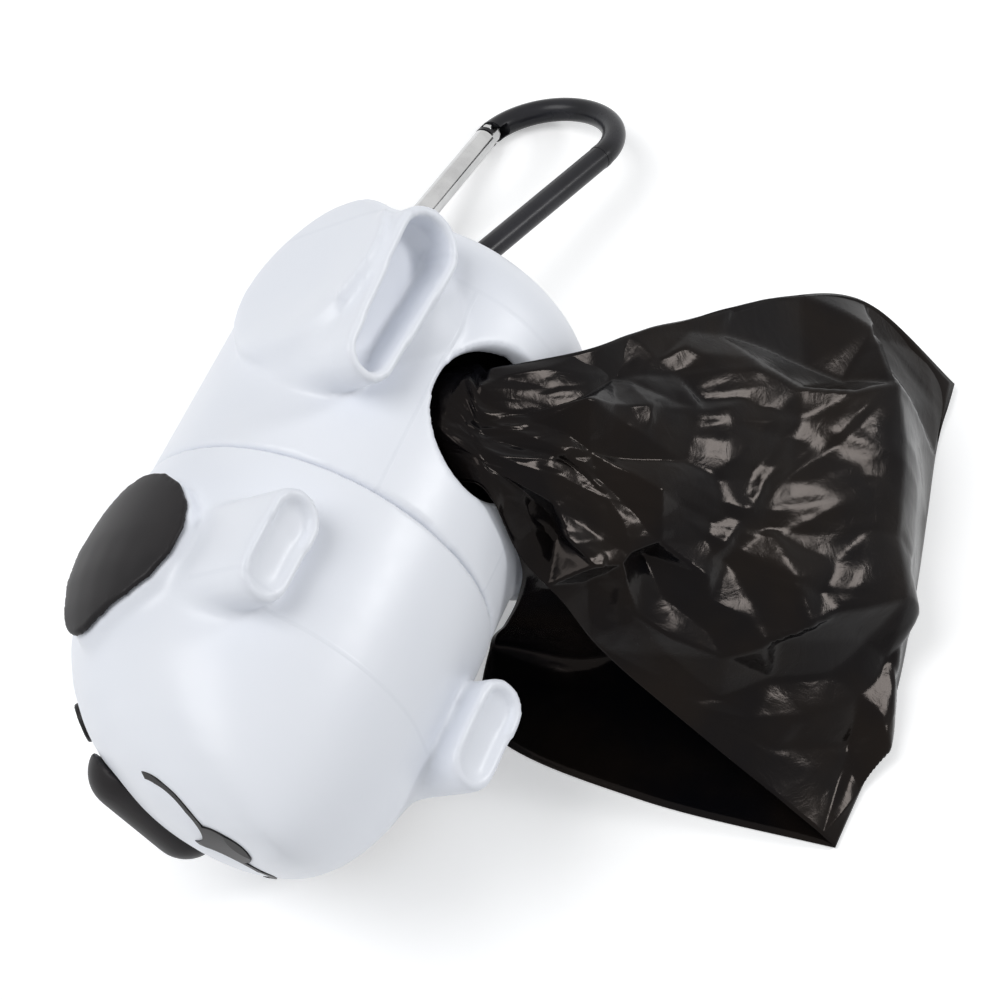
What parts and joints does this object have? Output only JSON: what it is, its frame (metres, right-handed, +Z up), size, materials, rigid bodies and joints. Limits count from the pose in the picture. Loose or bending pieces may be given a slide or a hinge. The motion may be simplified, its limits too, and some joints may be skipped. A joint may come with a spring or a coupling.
{
  "type": "pet waste bag dispenser",
  "caption": "Dog-shaped capsule dispenser lying on its side: pull-off head cap, loose roll of waste bags, one bag drawn from the belly and a sprung clip on the tail.",
  "frame": {"origin": "inside of the clip's far bend, where a lead's ring hangs", "axes": "+X from the clip towards the dog's head along the body, +Z up from the table the dispenser lies on, +Y towards the drawn bag"},
  "size_m": [0.1413, 0.091, 0.0576],
  "materials": {
    "white_shell": "satin",
    "black_plastic": "satin",
    "film_wound": "gloss",
    "film_drawn": "gloss",
    "core_board": "matt",
    "black_anodised": "gloss",
    "bright_gate": "polished",
    "steel_pin": "satin"
  },
  "bodies": {
    "shell": {"rear_shell": "white_shell"},
    "head": {"head_shell": "white_shell", "ear_face_left": "black_plastic", "ear_face_right": "black_plastic", "nose": "black_plastic", "eye_left": "black_plastic", "eye_right": "black_plastic", "mouth_line": "black_plastic"},
    "roll": {"roll_core": "core_board", "bag_roll": "film_wound"},
    "bag": {"drawn_bag": "film_drawn"},
    "clip": {"clip_frame": "black_anodised"},
    "gate": {"clip_gate": "bright_gate", "gate_rivet": "steel_pin", "gate_latch_pin": "steel_pin", "gate_plunger": "steel_pin", "gate_spring": "steel_pin"}
  },
  "joints": [
    {"name": "head_pull", "type": "slide", "parent": "shell", "child": "head", "axis": [1, 0, 0], "range_m": [0, 0.045]},
    {"name": "roll_turn", "type": "hinge", "parent": "shell", "child": "roll", "pos_m": [0.08921, 0.00208, 0.01816], "axis": [1, 0, 0], "range_deg": [0, 50]},
    {"name": "bag_draw", "type": "slide", "parent": "shell", "child": "bag", "axis": [0, 0.7071, 0.7071], "range_m": [0, 0.014]},
    {"name": "clip_swing", "type": "hinge", "parent": "shell", "child": "clip", "pos_m": [0.05061, -0.00959, 0.00959], "axis": [0, 0.7071, 0.7071], "range_deg": [-40, 70]},
    {"name": "gate_open", "type": "hinge", "parent": "clip", "child": "gate", "pos_m": [0.0434, -0.01362, 0.00634], "axis": [0.2346, 0.3202, -0.9179], "range_deg": [0, 24.5], "stiffness_Nm_per_rad": 0.03, "springref_deg": -17.19}
  ],
  "couplings": [
    {"joint": "bag_draw", "follows": "roll_turn", "m_per_rad": 0.016}
  ]
}
